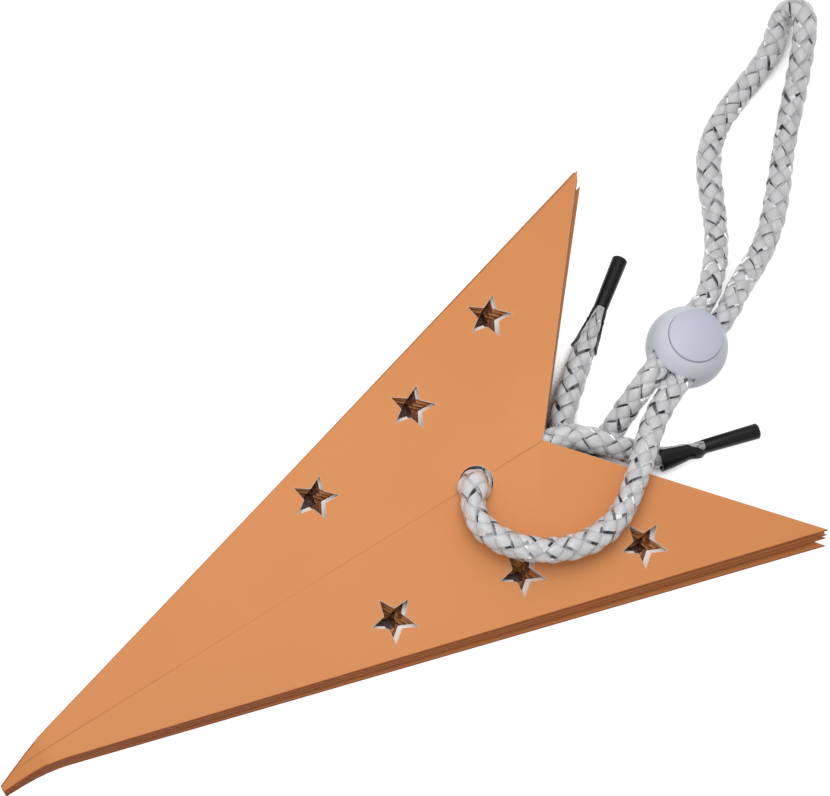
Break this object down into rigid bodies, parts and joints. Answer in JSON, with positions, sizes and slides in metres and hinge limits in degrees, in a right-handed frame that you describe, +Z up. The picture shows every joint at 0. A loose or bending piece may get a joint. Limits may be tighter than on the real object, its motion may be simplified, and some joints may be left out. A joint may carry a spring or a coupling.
{
  "type": "folded paper star lantern",
  "caption": "Paper star lantern folded flat into a stack of darts, with punched star windows and a braided hanging cord that has a ball cord lock and barbed ends.",
  "frame": {"origin": "on the table under the middle of the folded paper stack's box", "axes": "+X along the crease from the closed tip to the open notch, +Y towards one wing corner, +Z up through the stack of sheets"},
  "size_m": [0.204, 0.0908, 0.0146],
  "materials": {
    "card": "matte",
    "cord": "satin",
    "lock_body": "gloss",
    "lock_button": "gloss",
    "spring": "satin",
    "barb": "satin"
  },
  "bodies": {
    "star": {"arm_1": "card", "arm_2": "card", "arm_3": "card", "arm_4": "card", "arm_5": "card", "arm_6": "card", "arm_7": "card", "cord": "cord", "cord_lock_body": "lock_body", "cord_lock_spring": "spring", "barb_1": "barb", "barb_2": "barb"},
    "plunger": {"cord_lock_plunger": "lock_button"}
  },
  "joints": [
    {"name": "lock_press", "type": "slide", "parent": "star", "child": "plunger", "axis": [-0.1455, 0.0343, -0.9888], "range_m": [0, 0.0022], "stiffness_N_per_m": 400, "springref_m": -0.002, "deforming": ["cord_lock_spring"]}
  ]
}
